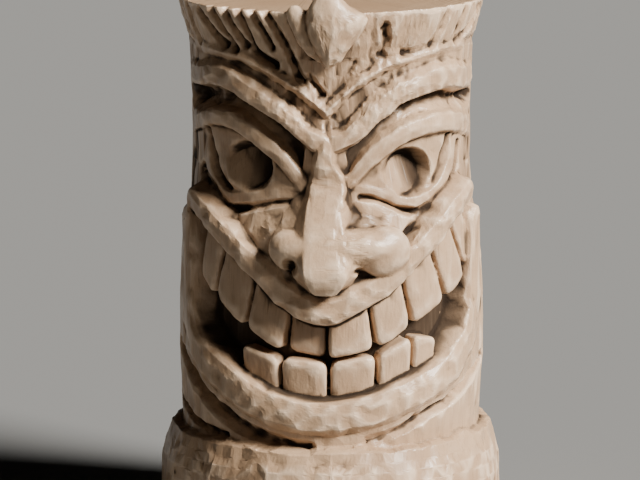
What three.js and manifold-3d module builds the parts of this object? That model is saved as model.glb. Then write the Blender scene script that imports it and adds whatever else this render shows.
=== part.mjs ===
// Tiki face carved on a short upright log, one solid piece of wood.
// Millimetres, +Z up, the face looks along -Y, the origin is the middle of the flat underside.
import * as THREE from "three";
import { ConvexGeometry } from "three/addons/geometries/ConvexGeometry.js";
import { mergeVertices } from "three/addons/utils/BufferGeometryUtils.js";
import Module from "manifold-3d";

// Driving dimensions
const trunkDiameter = 300; // the log across the cheeks
const headHeight = 429; // from the base ledge to the sawn top
const baseHeight = 112; // the plain stump under the ledge
const ledgeWidth = 20.5; // how far the stump stands out round the neck
const footWear = 5; // worn edge round the underside
const knobRise = 20; // what the top knob stands above the sawn top
const noseProjection = 28; // how far the tip of the nose stands out from the cheeks
const mouthDepth = 23; // from the front of the teeth in to the floor of the mouth

const trunkRadius = trunkDiameter / 2;
const baseRadius = trunkRadius + ledgeWidth;
const logTop = baseHeight + headHeight;
const noseTipReach = trunkRadius + noseProjection;
const mouthFloorReach = trunkRadius - mouthDepth;

// Facets follow the carving to within this share of the trunk radius
const facetTolerance = 0.0185;

// Carving is laid out on the unrolled log. A place is [degrees round from the front,
// percent of the head height above the ledge]. Reaches, widths and depths are shares of
// the trunk radius.
const toRadians = Math.PI / 180;
const heightAt = (percent) => baseHeight + (headHeight * percent) / 100;
const onSheet = ([degrees, percent]) =>
  new THREE.Vector2(degrees * toRadians, heightAt(percent) / trunkRadius);

// Side outline of the head, [percent, reach], from the neck to the rim of the sawn top
const headOutline = [
  [0, 0.99],
  [5, 1.0],
  [16, 1.015],
  [30, 1.015],
  [42, 0.995],
  [48, 0.965],
  [53, 0.92],
  [62, 0.905],
  [72, 0.905],
  [85, 0.915],
  [89, 0.925],
  [94, 0.965],
  [99, 1.008],
  [100, 1.008],
];
// Side outline of the stump, [share of the base height below the ledge, share of its flare]
const baseOutline = [
  [0, 0.3],
  [0.02, 0.5],
  [0.12, 0.66],
  [0.2, 0.82],
  [0.3, 0.94],
  [0.42, 1],
  [1, 1],
];

const hairline = {
  left: [[-90, 90], [-62, 89.7], [-39, 88.7], [-27, 86.2], [-14, 82.5], [-2, 77]],
  right: [[-2, 77], [5.5, 81.4], [15.5, 85.5], [28, 88.3], [50, 90.2], [90, 90]],
};
const brows = {
  left: [
    [-88, 81], [-67, 82.3], [-56, 83.4], [-45, 83], [-34, 80.6], [-25, 78], [-17, 75], [-10, 71.6],
    [-4, 69.8],
  ],
  right: [[-1, 69.8], [8, 71.6], [16.5, 76], [26.5, 80.2], [38, 82.4], [53, 83.4], [69, 82], [88, 81]],
};
const underBrows = {
  left: [[-84, 77.2], [-62, 78.2], [-45, 79], [-33, 77.2], [-25, 74.6], [-18, 70.8], [-12, 65.5]],
  right: [[6, 66], [12, 69.5], [19, 73.2], [28, 76.8], [42, 79], [62, 78.5], [84, 77.5]],
};
const upperLids = {
  left: [
    [-86, 70], [-70, 72], [-58, 74], [-46, 74.3], [-38, 73], [-31, 70.8], [-24, 68], [-18, 65], [-13, 61.5],
    [-10.5, 58.8],
  ],
  right: [
    [5, 60.2], [9.5, 62.6], [15.5, 66.2], [24, 69.8], [33, 72.2], [42, 73.2], [52, 73.1],
    [68, 71.8], [86, 69.5],
  ],
};
const lowerLids = {
  left: [[-64, 68.8], [-63.6, 64.5], [-60, 60], [-53, 57], [-44, 55.9], [-32, 57], [-20, 58], [-12.5, 58.4]],
  right: [[9.5, 59.4], [18, 58.6], [28, 56.4], [37, 55.7], [46, 57], [53, 59.8], [58.5, 64], [60.5, 69]],
};
const lidCreases = {
  left: [[-68, 61], [-62, 56.6], [-54, 54], [-45, 53.4], [-34, 54.6], [-22, 56.2], [-13, 56.6]],
  right: [[12, 57.4], [21, 56.6], [30, 54.2], [39, 53.1], [48, 54.3], [56, 57], [63.5, 61], [66, 67]],
};
const eyes = {
  left: { center: [-38, 63.4], crater: [0.235, 0.185] },
  right: { center: [33.5, 62.3], crater: [0.24, 0.175] },
};
const upperLip = [
  [-66, 54.5], [-57, 52.6], [-47, 49.2], [-39, 45.9], [-30, 41.6], [-22.3, 37.4], [-14.8, 34.1], [-7.6, 31.9],
  [-1.2, 31.4], [4.8, 32.8], [12, 35.1], [21, 38.2], [29, 42.3], [37, 45.9], [45, 49.8], [53, 53.2],
  [64, 56.5],
];
const lowerLip = [
  [-71, 49], [-69, 40], [-68, 30.5], [-64.5, 23.8], [-57, 19.5], [-46, 16], [-34.5, 12.5], [-24, 9.8],
  [-14.5, 8.4], [-4, 7.7], [6.5, 8.3], [17.5, 9.7], [27, 11.7], [37.5, 13.8], [47.5, 16.3], [56.5, 20],
  [64, 23.8], [69, 30.5], [70, 40], [71, 49],
];
const cheekCreases = {
  left: [[-68, 60], [-58, 57.6], [-50, 54.4], [-42, 50.4], [-35, 47], [-29, 43.8], [-24, 40]],
  right: [[21, 41.5], [27, 45.5], [34, 49.6], [43, 53.6], [54, 57], [66, 59]],
};
const chinGrooves = {
  left: [[-80, 19], [-66, 13.4], [-54, 8.8], [-42, 5.2], [-30, 2.6], [-18, 1], [-8, 0.4]],
  right: [[14, 1.4], [26, 3.6], [38, 6.4], [50, 8.6], [64, 12], [80, 16]],
};
const neckGroove = [[-84, 5.6], [-70, 3.4], [-58, 1.8], [-44, 1]];
const rootOfNose = [[-2.4, 72], [-2.4, 61]];
const foreheadCrease = [[-2, 77.5], [-1.6, 70.5]];
// The bed that the nose and its wings stand on
const noseBeds = [
  { center: [-15, 48], half: [0.3, 0.2], reach: 1.01 },
  { center: [11, 47.5], half: [0.3, 0.19], reach: 1.015 },
];

// Hair is cut as gouges that run down from the rim, deep on the left and worn on the right
const hairGouges = [
  { path: [[-80, 99], [-78, 90.5]], depth: 0.03, width: 0.05 },
  { path: [[-70, 98.6], [-66, 91]], depth: 0.035, width: 0.05 },
  { path: [[-59, 98], [-53, 94], [-47, 91.2]], depth: 0.045, width: 0.05 },
  { path: [[-51, 99], [-46, 94], [-41.5, 90.3]], depth: 0.045, width: 0.05 },
  { path: [[-44.7, 100], [-40, 95], [-36, 91.5]], depth: 0.045, width: 0.05 },
  { path: [[-37.5, 100], [-34.2, 94.3], [-31.5, 90.3], [-23, 87.4]], depth: 0.05, width: 0.05 },
  { path: [[-31.5, 100], [-27.5, 95.3], [-24.1, 91.5]], depth: 0.045, width: 0.05 },
  { path: [[-25.5, 100], [-18.7, 92.6], [-14, 86], [-11.3, 84.1]], depth: 0.05, width: 0.048 },
  { path: [[20.6, 96.2], [21.6, 92.6], [20.2, 90.2]], depth: 0.045, width: 0.055 },
  { path: [[32, 99], [30, 92]], depth: 0.022, width: 0.09 },
  { path: [[50.7, 100], [46.6, 94.5], [42.2, 90.7], [30, 89.6]], depth: 0.03, width: 0.05 },
  { path: [[62, 100], [57, 92]], depth: 0.018, width: 0.05 },
  { path: [[76, 98], [68, 93.4], [60, 91.5]], depth: 0.03, width: 0.05 },
];

// Upper teeth hang from the lip down to the biting edge. The splits between them lean: each has its
// place at the lip and at the bite, in degrees.
const upperSplits = [-58, -44.9, -30.1, -15.9, -1.4, 14, 27.7, 41, 52.1, 63];
const biteSplits = [-62, -52.2, -35.8, -19, -2, 17.6, 33.2, 51, 65.5, 70];
const upperBite = [
  [-62, 36.8], [-52, 32.8], [-36, 26.6], [-20, 22], [-2, 20.5], [17.6, 22.6], [33, 27.2], [51, 32.2],
  [70, 37.5],
];
const brokenTooth = 3;
const brokenToothReach = 0.905 * trunkRadius;
const upperTeethReach = { top: 0.955 * trunkRadius, bottom: 0.99 * trunkRadius };
// Lower teeth stand up from their roots behind the lower lip to their own biting edge
const lowerSplits = [-38, -20.4, -1, 18.2, 33.6, 45.5];
const lowerBite = [[-38, 23], [-20, 20.6], [-1, 19.8], [18, 21.4], [33, 25], [45.5, 24]];
const lowerRoot = [[-38, 13.5], [-20, 11.6], [-1, 10.4], [18, 11.6], [33, 14.6], [45.5, 17]];
const lowerTeethReach = { top: 0.985 * trunkRadius, bottom: 0.95 * trunkRadius };
const toothGap = 1.3; // between two teeth, in degrees

// How a stroke fades from its middle line, 0, to its edge, 1
const fades = {
  round: (q) => (1 - q * q) ** 2,
  roof: (q) => 1 - q,
  band: (q) => (q < 0.5 ? 1 - 0.3 * q * q : 0.925 * (1 - THREE.MathUtils.smoothstep(q, 0.5, 1))),
  lid: (q) => (q < 0.62 ? 1 - 0.35 * q * q : 0.865 * (1 - THREE.MathUtils.smoothstep(q, 0.62, 1))),
  pit: (q) => 1 - THREE.MathUtils.smoothstep(q, 0.7, 1),
};

// A band or groove along a path. Its reach and width may be lists that run along the path, and
// it may have another width on the side that lies under the path.
function stroke(path, reach, width, fade, below = width) {
  const points = new THREE.SplineCurve(path.map(onSheet)).getPoints(path.length * 3);
  const box = new THREE.Box2().setFromPoints(points).expandByScalar(Math.max(...[width, below].flat()));
  return { points, box, reach, width, below, fade: fades[fade] };
}

function pool([degrees, percent], [acrossHalf, upHalf], reach, fade) {
  const center = onSheet([degrees, percent]);
  const full = new THREE.Vector2(acrossHalf, upHalf).multiplyScalar(2);
  const box = new THREE.Box2().setFromCenterAndSize(center, full);
  return { center, size: [acrossHalf, upHalf], box, reach, fade: fades[fade] };
}

// A plain value, or one read off a list of values spread evenly along a path
function valueAt(value, run) {
  if (!Array.isArray(value)) {
    return value;
  }
  const place = run * (value.length - 1);
  const before = Math.min(Math.floor(place), value.length - 2);
  return THREE.MathUtils.lerp(value[before], value[before + 1], place - before);
}

// The distance from a point to a path, which side of it the point is on and how far along it
function nearestOnPath(point, points) {
  const nearest = { gap: Infinity, side: 0, run: 0 };
  for (let i = 1; i < points.length; i += 1) {
    const a = points[i - 1];
    const b = points[i];
    const alongX = b.x - a.x;
    const alongY = b.y - a.y;
    const share = ((point.x - a.x) * alongX + (point.y - a.y) * alongY) / (alongX * alongX + alongY * alongY);
    const held = Math.min(1, Math.max(0, share));
    const outX = point.x - a.x - held * alongX;
    const outY = point.y - a.y - held * alongY;
    const gap = Math.hypot(outX, outY);
    if (gap < nearest.gap) {
      nearest.gap = gap;
      nearest.side = Math.sign(alongX * outY - alongY * outX);
      nearest.run = (i - 1 + held) / (points.length - 1);
    }
  }
  return nearest;
}

function insideLoop(point, loop) {
  let inside = false;
  loop.forEach((a, i) => {
    const b = loop[(i + 1) % loop.length];
    const straddles = a.y > point.y !== b.y > point.y;
    if (straddles && point.x < a.x + ((b.x - a.x) * (point.y - a.y)) / (b.y - a.y)) {
      inside = !inside;
    }
  });
  return inside;
}

const bothSides = (pair, reach, width, fade) => [
  stroke(pair.left, reach, width, fade),
  stroke(pair.right, reach, width, fade),
];

const groundStrokes = [
  pool(eyes.left.center, [0.52, 0.29], 0.865, "round"),
  pool(eyes.right.center, [0.52, 0.29], 0.865, "round"),
  stroke(underBrows.left, 0.82, 0.12, "round"),
  stroke(underBrows.right, 0.85, 0.12, "round"),
  pool(eyes.left.center, [0.4, 0.25], 0.918, "round"),
  pool(eyes.right.center, [0.4, 0.25], 0.918, "round"),
  stroke(lidCreases.left, [0.84, 0.83, 0.84, 0.87, 0.885], [0.065, 0.06, 0.05], "round"),
  stroke(lidCreases.right, [0.87, 0.85, 0.84, 0.85], [0.045, 0.055, 0.055], "round"),
  pool(eyes.left.center, eyes.left.crater, 0.83, "pit"),
  pool(eyes.right.center, eyes.right.crater, 0.83, "pit"),
  stroke(lowerLids.left, [0.925, 0.93, 0.92, 0.9, 0.9], [0.065, 0.065, 0.055, 0.045], "lid"),
  stroke(lowerLids.right, [0.905, 0.905, 0.925, 0.935, 0.93], [0.04, 0.05, 0.06, 0.065], "lid"),
  stroke(upperLids.left, [0.95, 0.965, 0.965, 0.945, 0.91], [0.06, 0.075, 0.075, 0.05], "lid"),
  stroke(upperLids.right, [0.91, 0.945, 0.965, 0.965, 0.95], [0.05, 0.08, 0.085, 0.085], "lid"),
  stroke(rootOfNose, [0.96, 0.985, 0.95, 0.9], [0.12, 0.17, 0.14, 0.1], "roof"),
  stroke(brows.left, [0.965, 0.985, 1, 0.99, 0.975], [0.12, 0.13, 0.1, 0.08], "band", [0.075, 0.08, 0.07]),
  stroke(brows.right, [0.975, 0.985, 0.985, 0.965], [0.09, 0.12, 0.13, 0.12], "band", [0.07, 0.1, 0.12]),
  stroke(foreheadCrease, [0.9, 0.915, 0.95], 0.045, "roof"),
  ...bothSides(hairline, 0.96, 0.065, "roof"),
  ...noseBeds.map(({ center, half, reach }) => pool(center, half, reach, "round")),
  ...bothSides(cheekCreases, 0.9, 0.06, "round"),
  stroke(chinGrooves.left, [0.93, 0.905, 0.9, 0.92, 0.95], [0.06, 0.075, 0.07, 0.045], "round"),
  stroke(chinGrooves.right, [0.965, 0.94, 0.925, 0.935], 0.05, "round"),
  stroke(neckGroove, 0.935, 0.055, "round"),
];
const lipStrokes = [
  stroke(lowerLip, 1.055, 0.15, "band"),
  stroke(upperLip, 1.045, 0.12, "band"),
];
const hairStrokes = hairGouges.map(({ path, depth, width }) => stroke(path, depth, width, "round"));
const mouthLoop = [...upperLip, ...[...lowerLip].reverse()].map(onSheet);

// How much of a stroke's own reach the surface takes at a point, and that reach
function strokeAt(point, mark) {
  if (!mark.box.containsPoint(point)) {
    return { share: 0, reach: 0 };
  }
  if (mark.center) {
    const q = Math.hypot((point.x - mark.center.x) / mark.size[0], (point.y - mark.center.y) / mark.size[1]);
    return { share: q < 1 ? mark.fade(q) : 0, reach: mark.reach };
  }
  const { gap, side, run } = nearestOnPath(point, mark.points);
  const q = gap / valueAt(side > 0 ? mark.width : mark.below, run);
  return { share: q < 1 ? mark.fade(q) : 0, reach: valueAt(mark.reach, run) };
}

function alongOutline(outline, place) {
  const next = outline.findIndex(([at]) => at >= place);
  if (next <= 0) {
    return outline[next === 0 ? 0 : outline.length - 1][1];
  }
  const [from, low] = outline[next - 1];
  const [to, high] = outline[next];
  return low + ((high - low) * (place - from)) / (to - from);
}

// Brows, lids and lips stand lower where they run out round the sides
const sideFall = 0.035;

// The hewn back and the stump are cut in flats, this many round the log
const flatCount = 16;
function hewnShare(angle) {
  const step = (2 * Math.PI) / flatCount;
  const fromMiddle = ((angle % step) + step) % step - step / 2;
  return Math.cos(step / 2) / Math.cos(fromMiddle);
}

// Distance from the log's axis to the carved surface
function reachAt(angle, height) {
  const backness = THREE.MathUtils.smoothstep(Math.abs(angle), 80 * toRadians, 105 * toRadians);
  if (height < baseHeight) {
    const depth = 1 - height / baseHeight;
    const neck = alongOutline(headOutline, 0) * trunkRadius;
    const flare = alongOutline(baseOutline, depth);
    const worn = footWear * THREE.MathUtils.clamp(1 - height / (2 * footWear), 0, 1);
    const hewn = THREE.MathUtils.lerp(1, hewnShare(angle), 0.6 * flare);
    return (neck + (baseRadius - neck) * flare) * hewn - worn;
  }
  const percent = (100 * (height - baseHeight)) / headHeight;
  const point = new THREE.Vector2(angle, height / trunkRadius);
  let reach = alongOutline(headOutline, percent);
  reach = THREE.MathUtils.lerp(reach, THREE.MathUtils.lerp(reach, 0.985, 0.5) * hewnShare(angle), backness);
  const sideness = THREE.MathUtils.smoothstep(Math.abs(angle), 45 * toRadians, 80 * toRadians);
  const lay = (mark) => {
    const { share, reach: wanted } = strokeAt(point, mark);
    reach += (wanted - sideFall * sideness - reach) * share * (1 - backness);
  };
  groundStrokes.forEach(lay);
  if (insideLoop(point, mouthLoop)) {
    reach = mouthFloorReach / trunkRadius;
  }
  lipStrokes.forEach(lay);
  hairStrokes.forEach((mark) => {
    const { share, reach: depth } = strokeAt(point, mark);
    reach -= depth * share * (1 - backness);
  });
  return reach * trunkRadius;
}

// The carved surface as right triangles, halved until each follows the carving within the tolerance
const tileHalvings = 5;
const tileCells = 2 ** tileHalvings;
const tilesRound = 8;
const tilesUp = 5;
const columns = tileCells * tilesRound;
const rows = tileCells * tilesUp;

function carvedLog() {
  const surface = [];
  for (let row = 0; row <= rows; row += 1) {
    for (let column = 0; column < columns; column += 1) {
      const angle = ((column / columns) * 2 - 1) * Math.PI;
      const height = (logTop * row) / rows;
      const reach = reachAt(angle, height);
      surface.push(new THREE.Vector3(Math.sin(angle) * reach, -Math.cos(angle) * reach, height));
    }
  }
  const key = (column, row) => row * columns + (column % columns);
  const errors = new Float32Array(surface.length);
  const middle = new THREE.Vector3();

  // Visits each triangle of one size: its long side runs from a to b, and c is its square corner
  const visitLevel = (level, visit) => {
    const walk = (ax, ay, bx, by, cx, cy, left) => {
      if (left === 0) {
        visit(ax, ay, bx, by, cx, cy);
        return;
      }
      const mx = (ax + bx) / 2;
      const my = (ay + by) / 2;
      walk(cx, cy, ax, ay, mx, my, left - 1);
      walk(bx, by, cx, cy, mx, my, left - 1);
    };
    forEachTile((x, y) => {
      walk(x, y, x + tileCells, y + tileCells, x + tileCells, y, level);
      walk(x + tileCells, y + tileCells, x, y, x, y + tileCells, level);
    });
  };
  const finest = 2 * tileHalvings - 1;
  for (let level = finest; level >= 0; level -= 1) {
    visitLevel(level, (ax, ay, bx, by, cx, cy) => {
      const mx = (ax + bx) / 2;
      const my = (ay + by) / 2;
      middle.addVectors(surface[key(ax, ay)], surface[key(bx, by)]).multiplyScalar(0.5);
      let error = middle.distanceTo(surface[key(mx, my)]);
      if (level < finest) {
        error = Math.max(
          error,
          errors[key((ax + cx) / 2, (ay + cy) / 2)],
          errors[key((bx + cx) / 2, (by + cy) / 2)],
        );
      }
      errors[key(mx, my)] = Math.max(errors[key(mx, my)], error);
    });
  }

  const triangles = [];
  const keep = (ax, ay, bx, by, cx, cy) => {
    const mx = (ax + bx) / 2;
    const my = (ay + by) / 2;
    const divisible = Math.abs(ax - cx) + Math.abs(ay - cy) > 1;
    if (divisible && errors[key(mx, my)] > facetTolerance * trunkRadius) {
      keep(cx, cy, ax, ay, mx, my);
      keep(bx, by, cx, cy, mx, my);
      return;
    }
    triangles.push([key(ax, ay), key(cx, cy), key(bx, by)]);
  };
  forEachTile((x, y) => {
    keep(x, y, x + tileCells, y + tileCells, x + tileCells, y);
    keep(x + tileCells, y + tileCells, x, y, x, y + tileCells);
  });

  // The flat sawn ends close the skin, each a fan from the log's axis
  const used = new Set(triangles.flat());
  const underside = surface.push(new THREE.Vector3(0, 0, 0)) - 1;
  const sawnTop = surface.push(new THREE.Vector3(0, 0, logTop)) - 1;
  const ring = (row) => {
    const found = [];
    for (let column = 0; column < columns; column += 1) {
      if (used.has(key(column, row))) {
        found.push(key(column, row));
      }
    }
    return found;
  };
  const close = (hub, edge, upward) => {
    edge.forEach((from, i) => {
      const to = edge[(i + 1) % edge.length];
      triangles.push(upward ? [hub, from, to] : [hub, to, from]);
    });
  };
  close(underside, ring(0), false);
  close(sawnTop, ring(rows), true);

  const geometry = new THREE.BufferGeometry().setFromPoints(surface);
  geometry.setIndex(triangles.flat());
  return geometry;
}

function forEachTile(visit) {
  for (let up = 0; up < tilesUp; up += 1) {
    for (let round = 0; round < tilesRound; round += 1) {
      visit(round * tileCells, up * tileCells);
    }
  }
}

// A point of the head, from its place on the unrolled log and its reach in millimetres
function onHead([degrees, percent], reach) {
  const angle = degrees * toRadians;
  return new THREE.Vector3(Math.sin(angle) * reach, -Math.cos(angle) * reach, heightAt(percent));
}

// A convex lump with a rounded front, rooted in the log: rings of its outline, each drawn in and
// brought forward
function lump(outline, rings) {
  const center = outline.reduce(([a, b], [c, d]) => [a + c / outline.length, b + d / outline.length], [0, 0]);
  const points = rings.flatMap(([reach, share]) =>
    outline.map(([degrees, percent]) =>
      onHead([center[0] + (degrees - center[0]) * share, center[1] + (percent - center[1]) * share], reach),
    ),
  );
  return new ConvexGeometry(points);
}

function heightOfPath(path, degrees) {
  const next = path.findIndex(([at], i) => i > 0 && at >= degrees);
  const [from, low] = path[next - 1];
  const [to, high] = path[next];
  return low + ((high - low) * (degrees - from)) / (to - from);
}

// A tooth between four corners, rooted in the mouth floor, with its front rounded off
function toothShape(corners, front) {
  const root = mouthFloorReach - 0.06 * trunkRadius;
  const edge = 0.03 * trunkRadius;
  const center = corners.reduce(([a, b], [c, d]) => [a + c / 4, b + d / 4], [0, 0]);
  const ring = (behind, share) =>
    corners.map(([degrees, percent], i) =>
      onHead(
        [center[0] + (degrees - center[0]) * share, center[1] + (percent - center[1]) * share],
        behind === null ? root : (i < 2 ? front.bottom : front.top) - behind,
      ),
    );
  const bevel = [...ring(1.2 * edge, 1), ...ring(0.35 * edge, 0.93), ...ring(0, 0.74)];
  return new ConvexGeometry([...ring(null, 1), ...bevel]);
}

function upperToothShapes() {
  return upperSplits.slice(1).map((right, i) => {
    const left = upperSplits[i];
    const [biteLeft, biteRight] = [biteSplits[i] + toothGap / 2, biteSplits[i + 1] - toothGap / 2];
    const corners = [
      [biteLeft, heightOfPath(upperBite, biteLeft)],
      [biteRight, heightOfPath(upperBite, biteRight)],
      [right - toothGap / 2, heightOfPath(upperLip, right)],
      [left + toothGap / 2, heightOfPath(upperLip, left)],
    ];
    const broken = { top: brokenToothReach, bottom: brokenToothReach };
    return toothShape(corners, i === brokenTooth ? broken : upperTeethReach);
  });
}

function lowerToothShapes() {
  return lowerSplits.slice(1).map((right, i) => {
    const [from, to] = [lowerSplits[i] + toothGap / 2, right - toothGap / 2];
    const corners = [
      [from, heightOfPath(lowerRoot, from)],
      [to, heightOfPath(lowerRoot, to)],
      [to, heightOfPath(lowerBite, to)],
      [from, heightOfPath(lowerBite, from)],
    ];
    return toothShape(corners, lowerTeethReach);
  });
}

// Nose: level sections down its length, [percent, middle in degrees, half width of the front plane, its
// reach as a share of the tip's, half width of the flanks, their reach as a share of the trunk radius]
const noseSections = [
  [74, -2.4, 0.01, 0.79, 0.05, 0.88],
  [72, -2.4, 0.015, 0.81, 0.09, 0.9],
  [69, -2.4, 0.03, 0.835, 0.14, 0.89],
  [65.5, -2.4, 0.05, 0.83, 0.15, 0.88],
  [61, -1.4, 0.1, 0.8, 0.165, 0.86],
  [56, -2.6, 0.1, 0.85, 0.21, 0.87],
  [52.5, -3, 0.1, 0.895, 0.27, 0.9],
  [49, -3.4, 0.095, 0.935, 0.33, 0.95],
  [45, -3.2, 0.1, 0.975, 0.34, 1.01],
  [41.5, -2.4, 0.13, 1, 0.26, 1.02],
  [38.6, -2.4, 0.13, 0.985, 0.2, 1.01],
  [36.4, -2.6, 0.08, 0.945, 0.13, 0.97],
];
// Half a section, from the front: share of the way out to the flank, share of the way forward
const noseProfile = [
  [0, 0.985],
  [0.1, 0.9],
  [0.42, 0.48],
  [0.78, 0.18],
  [1, 0],
];
const noseRootReach = 0.75;
// Two wings and the broad mass that joins them behind the tip
const wings = [
  { place: [-19.4, 45.6], half: [0.185, 0.1, 0.165], reach: 1.015, tilt: 14 },
  { place: [14.6, 45.8], half: [0.16, 0.095, 0.135], reach: 1.015, tilt: -20 },
  { place: [-2.2, 46.4], half: [0.42, 0.15, 0.135], reach: 0.985, tilt: 1 },
];

function noseShape() {
  const positions = [];
  noseSections.forEach(([percent, middle, planeHalf, frontShare, flankHalf, flankReach]) => {
    const front = noseTipReach * frontShare;
    const flank = flankReach * trunkRadius;
    const half = noseProfile.map(([out, forward]) => [
      THREE.MathUtils.lerp(planeHalf, flankHalf, out) * trunkRadius,
      THREE.MathUtils.lerp(flank, front, forward),
    ]);
    half.push([flankHalf * trunkRadius, noseRootReach * trunkRadius]);
    const section = [...[...half].reverse().map(([x, y]) => [-x, y]), [0, front], ...half];
    const aside = middle * toRadians * trunkRadius;
    section.forEach(([x, y]) => positions.push(x + aside, -y, heightAt(percent)));
  });
  const around = positions.length / 3 / noseSections.length;
  const index = [];
  for (let ring = 0; ring + 1 < noseSections.length; ring += 1) {
    for (let i = 0; i < around; i += 1) {
      const a = ring * around + i;
      const b = ring * around + ((i + 1) % around);
      index.push(a, a + around, b, b, a + around, b + around);
    }
  }
  const last = (noseSections.length - 1) * around;
  for (let i = 1; i + 1 < around; i += 1) {
    index.push(0, i, i + 1, last, last + i + 1, last + i);
  }
  const geometry = new THREE.BufferGeometry();
  geometry.setAttribute("position", new THREE.Float32BufferAttribute(positions, 3));
  geometry.setIndex(index);
  return geometry;
}

function wingShape({ place: [degrees, percent], half, reach, tilt }) {
  const ball = new THREE.SphereGeometry(1, 14, 8).rotateX(Math.PI / 2);
  ball.scale(...half.map((share) => share * trunkRadius));
  ball.rotateY(-tilt * toRadians);
  ball.translate(0, -reach * trunkRadius, heightAt(percent));
  return ball.rotateZ(degrees * toRadians);
}

// The top knob: a leaf with a petal folded behind its left edge, both standing over the hair
const leafOutline = [
  [-1.8, 87.4], [-5.8, 91.8], [-8.4, 96], [-8.9, 99.5], [-6.4, 103], [-2, 104.6], [2, 104.2], [6, 101.8],
  [12.4, 99.4], [11.6, 96.6], [6.8, 92.6], [3, 89.2],
];
const petalOutline = [
  [-2.6, 87.9], [-9.5, 91.3], [-13.6, 95], [-16.4, 100], [-13, 101.6], [-8, 99], [-5, 93],
];

function knobShapes() {
  const topPercent = 100 + (100 * knobRise) / headHeight;
  const tallest = Math.max(...leafOutline.map(([, percent]) => percent));
  const raised = (outline) =>
    outline.map(([degrees, percent]) => [
      degrees,
      percent <= 100 ? percent : 100 + ((percent - 100) * (topPercent - 100)) / (tallest - 100),
    ]);
  const reach = (share) => share * trunkRadius;
  return [
    lump(raised(leafOutline), [
      [reach(0.8), 0.96],
      [reach(1.03), 1],
      [reach(1.09), 0.86],
      [reach(1.13), 0.6],
      [reach(1.15), 0.3],
    ]),
    lump(raised(petalOutline), [
      [reach(0.85), 0.96],
      [reach(1.0), 1],
      [reach(1.05), 0.8],
      [reach(1.07), 0.5],
    ]),
  ];
}

const wasm = await Module();
wasm.setup();

function toSolid(geometry) {
  geometry.deleteAttribute("normal");
  geometry.deleteAttribute("uv");
  const merged = mergeVertices(geometry, 1e-4);
  return new wasm.Manifold(
    new wasm.Mesh({
      numProp: 3,
      vertProperties: new Float32Array(merged.attributes.position.array),
      triVerts: new Uint32Array(merged.index.array),
    }),
  );
}

function toGeometry(solid) {
  const { numProp, vertProperties, triVerts } = solid.getMesh();
  const geometry = new THREE.BufferGeometry();
  const positions = vertProperties.filter((_, i) => i % numProp < 3);
  geometry.setAttribute("position", new THREE.BufferAttribute(positions, 3));
  geometry.setIndex(new THREE.BufferAttribute(triVerts, 1));
  geometry.computeVertexNormals();
  return geometry;
}

const teeth = [...upperToothShapes(), ...lowerToothShapes()];
const additions = [noseShape(), ...wings.map(wingShape), ...teeth, ...knobShapes()];
const carving = additions.reduce((solid, shape) => solid.add(toSolid(shape)), toSolid(carvedLog()));

const paleWood = new THREE.MeshStandardMaterial({ color: 0xcbb092, roughness: 0.8, metalness: 0 });
const stump = new THREE.Mesh(toGeometry(carving), paleWood);
stump.name = "tiki_stump";

const object = new THREE.Group();
object.add(stump);

export default object;
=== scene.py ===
"""Tiki face carved on a short upright log: its carving, its weathered wood and a plain studio."""
import math

import bpy
import numpy as np
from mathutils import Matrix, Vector, noise
from mathutils.bvhtree import BVHTree


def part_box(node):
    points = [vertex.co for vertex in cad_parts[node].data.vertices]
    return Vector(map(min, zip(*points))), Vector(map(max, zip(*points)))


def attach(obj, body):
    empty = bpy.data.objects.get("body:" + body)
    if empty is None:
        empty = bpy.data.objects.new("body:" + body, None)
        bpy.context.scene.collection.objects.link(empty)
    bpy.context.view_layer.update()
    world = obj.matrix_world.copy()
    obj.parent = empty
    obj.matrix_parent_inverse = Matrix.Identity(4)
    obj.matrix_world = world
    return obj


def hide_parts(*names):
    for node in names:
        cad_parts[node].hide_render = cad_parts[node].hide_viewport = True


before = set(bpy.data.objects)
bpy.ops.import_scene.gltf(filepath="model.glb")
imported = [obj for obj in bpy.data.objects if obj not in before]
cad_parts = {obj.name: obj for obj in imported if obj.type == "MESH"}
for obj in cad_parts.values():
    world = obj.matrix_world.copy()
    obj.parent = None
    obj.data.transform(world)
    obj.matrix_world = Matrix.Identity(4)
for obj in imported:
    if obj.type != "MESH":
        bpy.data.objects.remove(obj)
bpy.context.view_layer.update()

# The log, in metres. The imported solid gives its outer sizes.
LOW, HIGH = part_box("tiki_stump")
LEDGE_WIDTH = 0.0205
STUMP = (HIGH.x - LOW.x) / 2
TRUNK = STUMP - LEDGE_WIDTH
KNOB_RISE = 0.020
SAWN_TOP = HIGH.z - KNOB_RISE
LEDGE = 0.112
HEAD = SAWN_TOP - LEDGE
FOOT_WEAR = 0.005
NOSE_TIP = TRUNK + 0.028
MOUTH_FLOOR = TRUNK - 0.023
# The turns between which the face gives way to the sides, and the sides to the plain hewn back
SIDE_TURNS = (math.radians(45), math.radians(80))
BACK_TURNS = (math.radians(80), math.radians(105))
BACK_REACH = 0.985
BACK_FLATS = 16

# Carving is laid out on the unrolled log. A place is (degrees round from the front, percent of
# the head height above the ledge). Reaches and widths are shares of the trunk radius.
SIDE_FALL = 0.035
HEAD_OUTLINE = [
    (0, 0.99), (5, 1.0), (16, 1.015), (30, 1.015), (42, 0.995), (48, 0.965), (53, 0.92),
    (62, 0.905), (72, 0.905), (85, 0.915), (89, 0.925), (94, 0.965), (99, 1.008), (100, 1.008),
]
BASE_OUTLINE = [(0, 0.3), (0.02, 0.5), (0.12, 0.66), (0.2, 0.82), (0.3, 0.94), (0.42, 1), (1, 1)]

# How far the ledge's edge wanders up and down, and how far from it the painted shade and the wear are held
# back
LEDGE_JAG = 0.0022
LEDGE_SPAN = 0.014
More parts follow.
